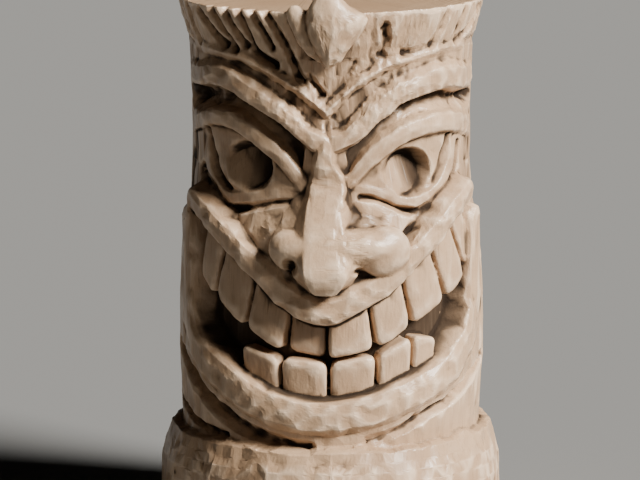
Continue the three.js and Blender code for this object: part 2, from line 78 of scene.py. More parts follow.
# Slow swells of the trunk: waves round, waves up, size as a share of the trunk radius, and shift
SWELLS = [(3, 1.3, 0.004, 0.5), (5, -2.1, 0.004, 2.2), (9, 4.2, 0.003, 1.1), (14, -7.0, 0.0022, 3.7)]

HAIRLINE_LEFT = [(-90, 90), (-62, 89.7), (-39, 88.7), (-27, 86.2), (-14, 82.5), (-2, 77)]
HAIRLINE_RIGHT = [(-2, 77), (5.5, 81.4), (15.5, 85.5), (28, 88.3), (50, 90.2), (90, 90)]
BROW_LEFT = [
    (-88, 81), (-67, 82.3), (-56, 83.4), (-45, 83), (-34, 80.6), (-25, 78), (-17, 75), (-10, 71.6),
    (-4, 69.8),
]
BROW_RIGHT = [
    (-1, 69.8), (8, 71.6), (16.5, 76), (26.5, 80.2), (38, 82.4), (53, 83.4), (69, 82), (88, 81),
]
UNDER_BROW_LEFT = [
    (-84, 77.2), (-62, 78.2), (-45, 79), (-33, 77.2), (-25, 74.6), (-18, 70.8), (-12, 65.5),
]
UNDER_BROW_RIGHT = [(6, 66), (12, 69.5), (19, 73.2), (28, 76.8), (42, 79), (62, 78.5), (84, 77.5)]
UPPER_LID_LEFT = [
    (-86, 70), (-70, 72), (-58, 74), (-46, 74.3), (-38, 73), (-31, 70.8), (-24, 68), (-18, 65),
    (-13, 61.5), (-10.5, 58.8),
]
UPPER_LID_RIGHT = [
    (5, 60.2), (9.5, 62.6), (15.5, 66.2), (24, 69.8), (33, 72.2), (42, 73.2), (52, 73.1), (68, 71.8),
    (86, 69.5),
]
LOWER_LID_LEFT = [
    (-64, 68.8), (-63.6, 64.5), (-60, 60), (-53, 57), (-44, 55.9), (-32, 57), (-20, 58),
    (-12.5, 58.4),
]
LOWER_LID_RIGHT = [
    (9.5, 59.4), (18, 58.6), (28, 56.4), (37, 55.7), (46, 57), (53, 59.8), (58.5, 64), (60.5, 69),
]
LID_CREASE_LEFT = [
    (-68, 61), (-62, 56.6), (-54, 54), (-45, 53.4), (-34, 54.6), (-22, 56.2), (-13, 56.6),
]
LID_CREASE_RIGHT = [
    (12, 57.4), (21, 56.6), (30, 54.2), (39, 53.1), (48, 54.3), (56, 57), (63.5, 61), (66, 67),
]
EYE_LEFT = (-38, 63.4)
EYE_RIGHT = (33.5, 62.3)
# Ovals round the eyes: half sizes and reach, and for the craters how the floor leans right and up
EYE_SOCKET = ((0.52, 0.29), 0.865)
EYE_SWELL = ((0.4, 0.25), 0.918)
EYE_CRATERS = [
    (EYE_LEFT, (0.235, 0.185), 0.835, (0.085, 0.07)), (EYE_RIGHT, (0.24, 0.175), 0.83, (0.055, 0.065)),
]
UPPER_LIP = [
    (-66, 54.5), (-57, 52.6), (-47, 49.2), (-39, 45.9), (-30, 41.6), (-22.3, 37.4), (-14.8, 34.1),
    (-7.6, 31.9), (-1.2, 31.4), (4.8, 32.8), (12, 35.1), (21, 38.2), (29, 42.3), (37, 45.9),
    (45, 49.8), (53, 53.2), (64, 56.5),
]
LOWER_LIP = [
    (-71, 49), (-69, 40), (-68, 30.5), (-64.5, 23.8), (-57, 19.5), (-46, 16), (-34.5, 12.5),
    (-24, 9.8), (-14.5, 8.4), (-4, 7.7), (6.5, 8.3), (17.5, 9.7), (27, 11.7), (37.5, 13.8),
    (47.5, 16.3), (56.5, 20), (64, 23.8), (69, 30.5), (70, 40), (71, 49),
]
# Reach and half width of the lips
UPPER_LIP_BAND = (1.045, 0.12)
LOWER_LIP_BAND = (1.055, 0.15)
CHEEK_LEFT = [(-68, 60), (-58, 57.6), (-50, 54.4), (-42, 50.4), (-35, 47), (-29, 43.8), (-24, 40)]
CHEEK_RIGHT = [(21, 41.5), (27, 45.5), (34, 49.6), (43, 53.6), (54, 57), (66, 59)]
CHIN_LEFT = [(-80, 19), (-66, 13.4), (-54, 8.8), (-42, 5.2), (-30, 2.6), (-18, 1), (-8, 0.4)]
CHIN_RIGHT = [(14, 1.4), (26, 3.6), (38, 6.4), (50, 8.6), (64, 12), (80, 16)]
NECK_LEFT = [(-84, 5.6), (-70, 3.4), (-58, 1.8), (-44, 1)]
ROOT_OF_NOSE = [(-2.4, 72), (-2.4, 61)]
LID_GROOVE_LEFT = [(-62, 70.5), (-59.5, 66), (-56.5, 62.4), (-52.8, 59.5), (-47, 57.8)]
LID_GROOVE_RIGHT = [(57, 70), (54.5, 66.5), (51.5, 62.5), (47.5, 59.6)]
FOREHEAD_CREASE = [(-2, 77.5), (-1.6, 70.5)]
# Swells that carry the nose wings: place, half sizes and reach
NOSE_BEDS = [((-15, 48), (0.3, 0.2), 1.01), ((11, 47.5), (0.3, 0.19), 1.015)]

# Hair: each gouge runs down from the rim, with its depth and half width
HAIR_GOUGES = [
    ([(-80, 99), (-78, 90.5)], 0.03, 0.05), ([(-70, 98.6), (-66, 91)], 0.035, 0.05),
    ([(-59, 98), (-53, 94), (-47, 91.2)], 0.055, 0.05),
    ([(-51, 99), (-46, 94), (-41.5, 90.3)], 0.06, 0.045),
    ([(-44.7, 100), (-40, 95), (-36, 91.5)], 0.06, 0.04),
    ([(-37.5, 100), (-34.2, 94.3), (-31.5, 90.3), (-23, 87.4)], 0.065, 0.04),
    ([(-31.5, 100), (-27.5, 95.3), (-24.1, 91.5)], 0.06, 0.037),
    ([(-25.5, 100), (-18.7, 92.6), (-14, 86), (-11.3, 84.1)], 0.065, 0.04),
    ([(-9, 85), (-3.8, 81.2)], 0.035, 0.035), ([(9, 88.2), (7, 85.6)], 0.02, 0.03),
    ([(20.6, 96.2), (21.6, 92.6), (20.2, 90.2)], 0.045, 0.055),
    ([(15.6, 99), (16.6, 93), (16.8, 88.6)], 0.016, 0.05), ([(32, 99), (30, 92)], 0.022, 0.09),
    ([(50.7, 100), (46.6, 94.5), (42.2, 90.7), (30, 89.6)], 0.03, 0.05),
    ([(62, 100), (57, 92)], 0.018, 0.05), ([(76, 98), (68, 93.4), (60, 91.5)], 0.03, 0.05),
]

# Upper teeth fill the space from the lip down to the biting edge, between these splits, in degrees
UPPER_SPLITS = [-58, -44.9, -30.1, -15.9, -1.4, 14, 27.7, 41, 52.1, 63]
BITE_SPLITS = [-62, -52.2, -35.8, -19, -2, 17.6, 33.2, 51, 65.5, 70]
UPPER_BITE = [
    (-62, 36.8), (-52, 32.8), (-36, 26.6), (-20, 22), (-2, 20.5), (17.6, 22.6), (33, 27.2),
    (51, 32.2), (70, 37.5),
]
BROKEN_TOOTH = 3
LOWER_SPLITS = [-38, -20.4, -1, 18.2, 33.6, 45.5]
LOWER_BITE = [(-38, 23), (-20, 20.6), (-1, 19.8), (18, 21.4), (33, 25), (45.5, 24)]
LOWER_ROOT = [(-38, 13.5), (-20, 11.6), (-1, 10.4), (18, 11.6), (33, 14.6), (45.5, 17)]
TOOTH_GAP = 1.3
TOOTH_ROUNDNESS = 6.0
TOOTH_SEAT = 0.008
# Reach of the teeth at the top and at the bottom of their fronts
UPPER_TEETH_REACH = (0.955, 0.99)
BROKEN_TOOTH_REACH = (0.9, 0.905)
LOWER_TEETH_REACH = (0.985, 0.95)

# Nose sections down its length: percent, middle in degrees, half width of the front plane, its reach
# as a share of the tip's, half width of the flanks and their reach
NOSE = [
    (72, -2.4, 0.015, 0.81, 0.09, 0.9), (69, -2.4, 0.03, 0.835, 0.14, 0.89),
    (65.5, -2.4, 0.05, 0.83, 0.15, 0.88), (61, -1.4, 0.1, 0.80, 0.165, 0.86),
    (56, -2.6, 0.105, 0.85, 0.22, 0.87), (52.5, -3, 0.105, 0.895, 0.27, 0.9),
    (49, -3, 0.11, 0.935, 0.31, 0.95), (45, -2.8, 0.12, 0.975, 0.32, 1.0),
    (41.5, -2.4, 0.14, 1.0, 0.26, 1.02), (38.6, -2.4, 0.125, 0.985, 0.2, 1.01),
    (36.2, -2.6, 0.09, 0.945, 0.14, 0.97),
]
# The nose in section: degrees of turn, share of the way out to the flank, share of the way forward
NOSE_SECTION = [
    (0, 0, 1), (26, 0, 0.985), (40, 0.1, 0.9), (62, 0.42, 0.48), (84, 0.78, 0.18), (98, 1, 0),
    (130, 1, -0.6), (180, 0, -1),
]
NOSE_ROOT = 0.75
# Nostrils: place, half sizes across and up, and depth in metres
NOSTRILS = [((-14.4, 42.4), (0.065, 0.075), 0.016), ((9.2, 41.4), (0.06, 0.035), 0.006)]
# Nose wings, and the mass that joins them under the bridge: place, half sizes across, deep and high,
# reach of the middle and tilt in degrees
WINGS = [
    ((-19.4, 45.6), (0.185, 0.1, 0.165), 1.015, 14), ((14.6, 45.8), (0.16, 0.095, 0.135), 1.015, -20),
    ((-2.2, 46.4), (0.42, 0.15, 0.135), 0.985, 1),
]

# The knob over the forehead: a leaf in front of a petal, and their reach at the root, rim and crown
LEAF = [
    (-1.8, 87.4), (-5.8, 91.8), (-8.4, 96), (-8.9, 99.5), (-6.4, 103), (-2, 104.6), (2, 104.2),
    (6, 101.8), (12.4, 99.4), (11.6, 96.6), (6.8, 92.6), (3, 89.2),
]
PETAL = [(-2.6, 87.9), (-9.5, 91.3), (-13.6, 95), (-16.4, 100), (-13, 101.6), (-8, 99), (-5, 93)]
LEAF_REACH = (0.8, 1.04, 1.15)
PETAL_REACH = (0.85, 1.01, 1.07)

# The sheet of carving: how finely it is laid out round the log and up it
COLUMNS = 800
ROWS = 440
# The finished mesh: the size of its cells, the faces kept, the hewn flats, and how closely and deeply
# the surface is made uneven before they are cut
VOXEL = 0.00135
FACES_KEPT = 192000
FLATS = 9000
UNEVEN_SCALE = 85
UNEVEN_DEPTH = 0.0019
EDGE_ANGLE = math.radians(50)
# Torn grain: its depth, and how close its patches, lumps, fibres and pits are
TORN_DEPTH = 0.0011
PATCH_SCALE = 14
LUMP_SCALE = 95
FIBRE_SCALE = (260, 260, 150)
PIT_SCALE = 140
PIT_SHIFT = Vector((7, 3, 5))
# Hollows for painted shade and wear: rounds of averaging, and the depth that counts as full
HOLLOW_KINDS = [("crease", 10, 0.0019), ("hollow", 110, 0.0075)]
SAWN_DEPTH = 0.003


def height_at(percent):
    return LEDGE + HEAD * np.asarray(percent, float) / 100


def on_sheet(path):
    """Places as distances along the unrolled log, in trunk radii."""
    path = np.asarray(path, float)
    return np.column_stack([np.radians(path[:, 0]), height_at(path[:, 1]) / TRUNK])


def spline(points, steps=8):
    """A smooth curve through the points."""
    points = np.asarray(points, float)
    padded = np.vstack([points[0], points, points[-1]])
    share = np.linspace(0, 1, steps, endpoint=False)[:, None]
    curve = []
    for before, start, end, after in zip(padded, padded[1:], padded[2:], padded[3:]):
        out = (end - before) / 2
        back = (after - start) / 2
        curve.append(
            start + out * share + (3 * (end - start) - 2 * out - back) * share**2
            + (2 * (start - end) + out + back) * share**3
        )
    return np.vstack(curve + [points[-1:]])


def smooth(low, high, value):
    share = np.clip((value - low) / (high - low), 0, 1)
    return share * share * (3 - 2 * share)


def vary(value, along):
    """A plain value, or one that runs through a list of values along a path."""
    if isinstance(value, (list, tuple)):
        return np.interp(along, np.linspace(0, 1, len(value)), value)
    return value


# How a stroke fades from its middle line, 0, to its edge, 1
def round_fade(q):
    return (1 - q * q) ** 2


def roof_fade(q):
    return 1 - q


def band_fade(q):
    return np.where(q < 0.5, 1 - 0.3 * q * q, 0.925 * (1 - smooth(0.5, 1, q)))


def lid_fade(q):
    return np.where(q < 0.62, 1 - 0.35 * q * q, 0.865 * (1 - smooth(0.62, 1, q)))


def pit_fade(q):
    return 1 - smooth(0.7, 1, q)


class Sheet:
    """The unrolled log, with the reach of its surface at every place."""

    def __init__(self):
        angle = (np.arange(COLUMNS) / COLUMNS * 2 - 1) * math.pi
        height = np.linspace(0, SAWN_TOP, ROWS + 1)
        self.angle, self.height = np.meshgrid(angle, height)
        self.up = self.height / TRUNK
        self.backness = smooth(*BACK_TURNS, np.abs(self.angle))
        self.sideness = smooth(*SIDE_TURNS, np.abs(self.angle))
        jag = 0.8 * np.sin(7 * self.angle + 1) + np.sin(19 * self.angle + 4) * np.sin(5 * self.angle)
        self.ledge = LEDGE + LEDGE_JAG * jag
        self.reach = self.ground()

    def ground(self):
        percent = (self.height - LEDGE) / HEAD * 100
        head = np.interp(percent, *zip(*HEAD_OUTLINE))
        flats = self.flats()
        head += ((head * 0.5 + BACK_REACH * 0.5) * flats - head) * self.backness
        depth = np.clip(1 - self.height / LEDGE, 0, 1)
        flare = np.interp(depth, *zip(*BASE_OUTLINE))
        worn = FOOT_WEAR / TRUNK * np.clip(1 - self.height / (2 * FOOT_WEAR), 0, 1)
        neck = HEAD_OUTLINE[0][1]
        base = (neck + (STUMP / TRUNK - neck) * flare) * (1 + (flats - 1) * 0.6 * flare) - worn
        return np.where(self.height < self.ledge, base, head) + self.sway()

    def sway(self):
        """Uneven trunk: slow swells, stronger on the stump than under the carved face."""
        swells = 0.0
        for turns, climb, size, shift in SWELLS:
            swells = swells + size * np.sin(turns * self.angle + climb * self.up + shift)
        return swells * np.where(self.height < LEDGE, 1, 0.35)

    def flats(self):
        """The outline of a log hewn in flats: one at the corners, less at the middle of each flat."""
        step = 2 * math.pi / BACK_FLATS
        from_middle = np.mod(self.angle, step) - step / 2
        return math.cos(step / 2) / np.cos(from_middle)

    def lay(self, share, reach):
        """Brings the surface to the reach, fully where the share is one."""
        target = reach - SIDE_FALL * self.sideness
        self.reach += (target - self.reach) * share * (1 - self.backness)

    def near(self, path, width):
        """The places near a path: their distance from it, the side they are on and how far along it."""
        line = spline(on_sheet(path))
        low = line.min(0) - width
        high = line.max(0) + width
        inside = (self.angle > low[0]) & (self.angle < high[0])
        inside &= (self.up > low[1]) & (self.up < high[1])
        across, up = self.angle[inside], self.up[inside]
        best = np.full(across.shape, np.inf)
        side = np.zeros(across.shape)
        run = np.zeros(across.shape)
        for step, (start, end) in enumerate(zip(line[:-1], line[1:])):
            along = end - start
            ahead = (across - start[0]) * along[0] + (up - start[1]) * along[1]
            share = np.clip(ahead / (along @ along), 0, 1)
            out = across - start[0] - share * along[0]
            rise = up - start[1] - share * along[1]
            gap = np.hypot(out, rise)
            closer = gap < best
            side = np.where(closer, np.sign(along[0] * rise - along[1] * out), side)
            run = np.where(closer, (step + share) / (len(line) - 1), run)
            best = np.minimum(best, gap)
        return inside, best, side, run

    def share_near(self, path, width, fade, below=None):
        widest = max(np.max(width), np.max(below or 0))
        inside, gap, side, run = self.near(path, widest)
        above_width = vary(width, run)
        below_width = above_width if below is None else vary(below, run)
        q = np.minimum(gap / np.where(side > 0, above_width, below_width), 1)
        share = np.zeros(self.reach.shape)
        share[inside] = np.where(q < 1, fade(q), 0)
        along = np.zeros(self.reach.shape)
        along[inside] = run
        return share, along

    def stroke(self, path, reach, width, fade, below=None):
        """A band or groove along a path. The second width is for the side under the path."""
        share, along = self.share_near(path, width, fade, below)
        self.lay(share, vary(reach, along))

    def gouge(self, path, depth, width):
        """A cut of this depth into whatever is there."""
        share, _ = self.share_near(path, width, round_fade)
        self.reach -= share * depth * (1 - self.backness)

    def pool(self, place, half, reach, fade, lean=(0, 0)):
        """An oval. Its floor leans in to the right and to the top by these shares."""
        center = on_sheet([place])[0]
        across = (self.angle - center[0]) / half[0]
        up = (self.up - center[1]) / half[1]
        q = np.minimum(np.hypot(across, up), 1)
        self.lay(np.where(q < 1, fade(q), 0), reach - lean[0] * across - lean[1] * up)

    def recess(self, loop, reach):
        """Cuts the area inside a closed outline straight in to the reach."""
        loop = on_sheet(loop)
        inside = np.zeros(self.reach.shape, bool)
        for start, end in zip(loop, np.roll(loop, -1, 0)):
            straddles = (start[1] > self.up) != (end[1] > self.up)
            rise = end[1] - start[1] if end[1] != start[1] else 1
            edge = start[0] + (end[0] - start[0]) * (self.up - start[1]) / rise
            inside ^= straddles & (self.angle < edge)
        self.reach = np.where(inside, reach, self.reach)


def carve_eyes(sheet):
    for eye in (EYE_LEFT, EYE_RIGHT):
        sheet.pool(eye, *EYE_SOCKET, round_fade)
    sheet.stroke(UNDER_BROW_LEFT, (0.82, 0.815, 0.82, 0.835), 0.12, round_fade)
    sheet.stroke(UNDER_BROW_RIGHT, 0.85, 0.12, round_fade)
    for eye in (EYE_LEFT, EYE_RIGHT):
        sheet.pool(eye, *EYE_SWELL, round_fade)
    sheet.stroke(LID_CREASE_LEFT, (0.84, 0.83, 0.84, 0.87, 0.885), (0.055, 0.05, 0.035), round_fade)
    sheet.stroke(LID_CREASE_RIGHT, (0.87, 0.85, 0.84, 0.85), (0.03, 0.045, 0.04), round_fade)
    sheet.stroke(LID_GROOVE_LEFT, (0.85, 0.85, 0.87), 0.035, roof_fade)
    sheet.stroke(LID_GROOVE_RIGHT, (0.865, 0.87, 0.88), 0.03, roof_fade)
    for eye, half, reach, lean in EYE_CRATERS:
        sheet.pool(eye, half, reach, pit_fade, lean)
    sheet.stroke(LOWER_LID_LEFT, (0.925, 0.93, 0.92, 0.9, 0.9), (0.055, 0.055, 0.045, 0.03), lid_fade)
    sheet.stroke(
        LOWER_LID_RIGHT, (0.905, 0.905, 0.925, 0.935, 0.93), (0.028, 0.04, 0.055, 0.06), lid_fade
    )
    sheet.stroke(UPPER_LID_LEFT, (0.95, 0.965, 0.965, 0.945, 0.91), (0.06, 0.075, 0.075, 0.05), lid_fade)
    sheet.stroke(UPPER_LID_RIGHT, (0.91, 0.945, 0.965, 0.965, 0.95), (0.05, 0.08, 0.085, 0.085), lid_fade)


def carve_brows(sheet):
    sheet.stroke(ROOT_OF_NOSE, (0.96, 0.985, 0.95, 0.9), (0.12, 0.17, 0.14, 0.1), roof_fade)
    sheet.stroke(
        BROW_LEFT, (0.965, 0.985, 1.0, 0.99, 0.975), (0.12, 0.13, 0.1, 0.08), band_fade,
        (0.075, 0.08, 0.07),
    )
    sheet.stroke(
        BROW_RIGHT, (0.975, 0.985, 0.985, 0.965), (0.09, 0.12, 0.13, 0.12), band_fade, (0.07, 0.1, 0.12)
    )
    sheet.stroke(FOREHEAD_CREASE, (0.9, 0.915, 0.95), 0.03, roof_fade)
    sheet.stroke(HAIRLINE_LEFT, (0.955, 0.965, 0.955), 0.045, roof_fade)
    sheet.stroke(HAIRLINE_RIGHT, (0.95, 0.958, 0.955), 0.045, roof_fade)
    for path, depth, width in HAIR_GOUGES:
        sheet.gouge(path, depth, width)


def carve_mouth(sheet):
    for bed in NOSE_BEDS:
        sheet.pool(*bed, round_fade)
    for path in (CHEEK_LEFT, CHEEK_RIGHT):
        sheet.stroke(path, 0.9, 0.06, round_fade)
    sheet.stroke(CHIN_LEFT, (0.93, 0.905, 0.9, 0.92, 0.95), (0.06, 0.075, 0.07, 0.045), round_fade)
    sheet.stroke(CHIN_RIGHT, (0.965, 0.94, 0.925, 0.935), 0.05, round_fade)
    sheet.stroke(NECK_LEFT, 0.935, 0.04, round_fade)
    sheet.recess(UPPER_LIP + LOWER_LIP[::-1], MOUTH_FLOOR / TRUNK)
    sheet.stroke(LOWER_LIP, *LOWER_LIP_BAND, band_fade)
    sheet.stroke(UPPER_LIP, *UPPER_LIP_BAND, band_fade)


def carve_face():
    sheet = Sheet()
    carve_eyes(sheet)
    carve_brows(sheet)
    carve_mouth(sheet)
    return sheet


def place_vertices(piece, points):
    piece.data.vertices.foreach_set("co", np.ascontiguousarray(points, dtype=np.float32).ravel())
    piece.data.update()


def read_vertices(piece, value="co"):
    numbers = np.empty(len(piece.data.vertices) * 3, np.float32)
    piece.data.vertices.foreach_get(value, numbers)
    return numbers.reshape(-1, 3).astype(float)


def round_log(angle, reach, height):
    """Places on the log from their angle round it, their reach and their height, in metres."""
    return np.stack([np.sin(angle) * reach, -np.cos(angle) * reach, height], -1)


def start(name):
    """Names the piece that was just added."""
    piece = bpy.context.object
    piece.name = name
    piece.data.name = name
    return piece


def take(piece):
    bpy.ops.object.select_all(action="DESELECT")
    piece.select_set(True)
    bpy.context.view_layer.objects.active = piece


def carved_log():
    """A fine flat sheet, rolled round the log, with its two sawn ends closed."""
    bpy.ops.object.select_all(action="DESELECT")
    bpy.ops.mesh.primitive_grid_add(x_subdivisions=COLUMNS, y_subdivisions=ROWS, size=2)
    log = start("carved_log")
    flat = read_vertices(log)
    column = np.rint((flat[:, 0] + 1) / 2 * COLUMNS).astype(int)
    row = np.rint((flat[:, 1] + 1) / 2 * ROWS).astype(int)
    sheet = carve_face()
    reach = sheet.reach[row, column % COLUMNS] * TRUNK
    angle = (column / COLUMNS * 2 - 1) * math.pi
    place_vertices(log, round_log(angle, reach, SAWN_TOP * row / ROWS))
    take(log)
    bpy.ops.object.mode_set(mode="EDIT")
    bpy.ops.mesh.select_all(action="SELECT")
    bpy.ops.mesh.remove_doubles(threshold=1e-6)
    bpy.ops.mesh.select_all(action="DESELECT")
    bpy.ops.mesh.select_non_manifold()
    bpy.ops.mesh.edge_face_add()
    bpy.ops.mesh.select_all(action="SELECT")
    bpy.ops.mesh.normals_make_consistent(inside=False)
    bpy.ops.object.mode_set(mode="OBJECT")
    return log


def height_of(path, degrees):
    return float(np.interp(degrees, *zip(*path)))


def tooth(name, corners, front_top, front_bottom):
    """A rounded block between four corners (degrees, percent), from the mouth floor to its front."""
    bpy.ops.object.select_all(action="DESELECT")
    bpy.ops.mesh.primitive_cube_add(size=2)
    piece = start(name)
    bpy.ops.object.mode_set(mode="EDIT")
    bpy.ops.mesh.subdivide(number_cuts=13)
    bpy.ops.object.mode_set(mode="OBJECT")
    block = read_vertices(piece)
    block /= (np.abs(block) ** TOOTH_ROUNDNESS).sum(1)[:, None] ** (1 / TOOTH_ROUNDNESS)
    across = (block[:, 0] + 1) / 2
    up = (block[:, 2] + 1) / 2
    bottom_left, bottom_right, top_right, top_left = np.asarray(corners, float)
    bottom = bottom_left + (bottom_right - bottom_left) * across[:, None]
    top = top_left + (top_right - top_left) * across[:, None]
    place = bottom + (top - bottom) * up[:, None]
    root = MOUTH_FLOOR - TOOTH_SEAT
    front = (front_bottom + (front_top - front_bottom) * up) * TRUNK
    reach = root + (front - root) * (1 - block[:, 1]) / 2
    place_vertices(piece, round_log(np.radians(place[:, 0]), reach, height_at(place[:, 1])))
    return piece


def make_teeth():
    teeth = []
    gap = TOOTH_GAP / 2
    upper = zip(UPPER_SPLITS, UPPER_SPLITS[1:], BITE_SPLITS, BITE_SPLITS[1:])
    for index, (left, right, bite_left, bite_right) in enumerate(upper):
        corners = [
            (bite_left + gap, height_of(UPPER_BITE, bite_left)),
            (bite_right - gap, height_of(UPPER_BITE, bite_right)),
            (right - gap, height_of(UPPER_LIP, right)),
            (left + gap, height_of(UPPER_LIP, left)),
        ]
        fronts = BROKEN_TOOTH_REACH if index == BROKEN_TOOTH else UPPER_TEETH_REACH
        teeth.append(tooth(f"upper_tooth_{index}", corners, *fronts))
    for index, (left, right) in enumerate(zip(LOWER_SPLITS, LOWER_SPLITS[1:])):
        corners = [
            (left + gap, height_of(LOWER_ROOT, left)),
            (right - gap, height_of(LOWER_ROOT, right)),
            (right - gap, height_of(LOWER_BITE, right)),
            (left + gap, height_of(LOWER_BITE, left)),
        ]
        teeth.append(tooth(f"lower_tooth_{index}", corners, *LOWER_TEETH_REACH))
    return teeth


def turned(points, turn):
    spin = np.array([[math.cos(turn), math.sin(turn)], [-math.sin(turn), math.cos(turn)]])
    return np.column_stack([points[:, :2] @ spin, points[:, 2]])


def make_nose():
    """A ball spread over the nose's sections: a narrow front plane between two sloping flanks."""
    bpy.ops.object.select_all(action="DESELECT")
    bpy.ops.mesh.primitive_uv_sphere_add(segments=72, ring_count=60, radius=1)
    nose = start("nose")
    ball = read_vertices(nose)
    sections = spline(NOSE, 12)
    along = np.arccos(np.clip(ball[:, 2], -1, 1)) / math.pi
    keys = np.linspace(0, 1, len(sections))
    runs = [np.interp(along, keys, values) for values in sections.T]
    percent, middle, plane, front, flank_half, flank = runs
    turn = np.arctan2(ball[:, 0], -ball[:, 1])
    turns, outward, forward = zip(*NOSE_SECTION)
    out = np.interp(np.degrees(np.abs(turn)), turns, outward)
    ahead = np.interp(np.degrees(np.abs(turn)), turns, forward)
    front_reach = flank * TRUNK + (front * NOSE_TIP - flank * TRUNK) * ahead
    root_reach = flank * TRUNK + (flank - NOSE_ROOT) * TRUNK * ahead
    reach = np.where(ahead > 0, front_reach, root_reach)
    closed = np.clip(np.sin(along * math.pi), 0.001, 1) ** 0.14
    plane_share = np.clip(np.degrees(np.abs(turn)) / 36, 0, 1)
    x = np.sign(turn) * (plane * plane_share + (flank_half - plane) * out) * TRUNK * closed
    x += np.radians(middle) * TRUNK
    place_vertices(nose, np.column_stack([x, -reach, height_at(percent)]))
    return nose


def make_wing(name, place, half, reach, tilt):
    bpy.ops.object.select_all(action="DESELECT")
    bpy.ops.mesh.primitive_uv_sphere_add(segments=40, ring_count=28, radius=1)
    wing = start(name)
    ball = read_vertices(wing) * np.array(half) * TRUNK
    lean = math.radians(tilt)
    across = ball[:, 0] * math.cos(lean) - ball[:, 2] * math.sin(lean)
    up = ball[:, 0] * math.sin(lean) + ball[:, 2] * math.cos(lean)
    ball = np.column_stack([across, ball[:, 1] - reach * TRUNK, up + height_at(place[1])])
    place_vertices(wing, turned(ball, -math.radians(place[0])))
    return wing


def dome(name, outline, root, rim, crown):
    """A leaf-shaped dome: a ball spread to the outline, its front half raised from rim to crown."""
    bpy.ops.object.select_all(action="DESELECT")
    bpy.ops.mesh.primitive_uv_sphere_add(segments=96, ring_count=48, radius=1)
    piece = start(name)
    ball = read_vertices(piece)
    around = np.arctan2(ball[:, 2], ball[:, 0])
    out = np.hypot(ball[:, 0], ball[:, 2])
    closed = spline(np.vstack([outline, outline[:1]]), 10)
    middle = np.mean(outline, 0)
    rays = closed - middle
    turn = np.arctan2(rays[:, 1], rays[:, 0])
    order = np.argsort(turn)
    far_x = np.interp(around, turn[order], rays[order, 0], period=2 * math.pi)
    far_y = np.interp(around, turn[order], rays[order, 1], period=2 * math.pi)
    degrees = middle[0] + far_x * out
    percent = middle[1] + far_y * out
    front = rim + (crown - rim) * np.clip(-ball[:, 1], 0, 1) ** 0.8
    reach = np.where(ball[:, 1] < 0, front, rim + (root - rim) * ball[:, 1])
    place_vertices(piece, round_log(np.radians(degrees), reach * TRUNK, height_at(percent)))
    return piece


def knob_outline(outline):
    """Keeps the knob's top at its own height above the sawn top."""
    tallest = max(percent for _, percent in LEAF)
    top = 100 + 100 * KNOB_RISE / HEAD
    return [(d, p if p <= 100 else 100 + (p - 100) * (top - 100) / (tallest - 100)) for d, p in outline]


def apply(piece, kind, **settings):
    """Adds a modifier with these settings and applies it."""
    take(piece)
    modifier = piece.modifiers.new(kind.lower(), kind)
    for setting, value in settings.items():
        setattr(modifier, setting, value)
    bpy.ops.object.modifier_apply(modifier=modifier.name)


def hew(piece, flats):
    """Cuts the surface into small flats: it is made uneven, then drawn on to a coarse copy of itself."""
    points = read_vertices(piece)
    uneven = np.array([noise.noise(Vector(point) * UNEVEN_SCALE) for point in points]) * hewn_share(points)
    uneven *= np.abs(read_vertices(piece, "normal")[:, 2]) < 0.9
    place_vertices(piece, points + read_vertices(piece, "normal") * UNEVEN_DEPTH * uneven[:, None])
    take(piece)
    bpy.ops.object.duplicate()
    coarse = start("coarse_copy")
    apply(coarse, "DECIMATE", ratio=flats / len(coarse.data.polygons))
    tree = BVHTree.FromObject(coarse, bpy.context.evaluated_depsgraph_get())
    points = read_vertices(piece)
    flat = np.array([tree.find_nearest(point)[0] for point in points])
    bpy.data.objects.remove(coarse)
    place_vertices(piece, points + (flat - points) * hewn_share(points)[:, None])


def hewn_share(points):
    """How plainly the tool marks show: least on the nose, lids, teeth, knob, left hair and back."""
    angle, percent, reach = log_places(points)
    aside = np.abs(angle)
    nose = smooth(1.0, 1.04, reach) * smooth(36, 38, percent) * smooth(62, 58, percent)
    nose *= smooth(30, 24, aside)
    lids = smooth(54, 57, percent) * smooth(77, 74, percent) * smooth(8, 12, aside)
    lids *= smooth(72, 64, aside)
    roof = np.interp(angle, *zip(*UPPER_LIP))
    floor = np.interp(angle, *zip(*LOWER_ROOT))
    teeth = smooth(1.01, 0.99, reach) * smooth(64, 60, aside) * (percent < roof) * (percent > floor - 2)
    knob = smooth(1.02, 1.05, reach) * smooth(86, 88, percent)
    hair = smooth(87, 89, percent) * smooth(-8, -14, angle) * smooth(-66, -58, angle)
    back = smooth(70, 100, aside)
    calm = np.max([0.75 * nose, 0.4 * lids, 0.55 * teeth, 0.6 * knob, 0.75 * hair, 0.4 * back], axis=0)
    return 0.95 - calm


def log_places(points):
    """Degrees round from the front, percent of the head height and reach in trunk radii."""
    angle = np.degrees(np.arctan2(points[:, 0], -points[:, 1]))
    percent = (points[:, 2] - LEDGE) / HEAD * 100
    return angle, percent, np.hypot(points[:, 0], points[:, 1]) / TRUNK


def soften_nose(piece):
    """Runs the wings into the tip of the nose, where the cuts between them are worn."""
    angle, percent, reach = log_places(read_vertices(piece))
    wings = smooth(0.93, 0.97, reach) * smooth(57, 53, percent) * smooth(39.5, 42, percent)
    right = smooth(3, 8, angle) * smooth(26, 22, angle)
    left = 0.5 * smooth(-9, -12, angle) * smooth(-32, -26, angle)
    wings *= np.maximum(right, left)
    group = piece.vertex_groups.new(name="softened")
    for level in range(1, 5):
        chosen = np.flatnonzero(np.rint(wings * 4) == level)
        group.add(chosen.tolist(), level / 4, "REPLACE")
    apply(piece, "SMOOTH", factor=0.5, iterations=50, vertex_group="softened")


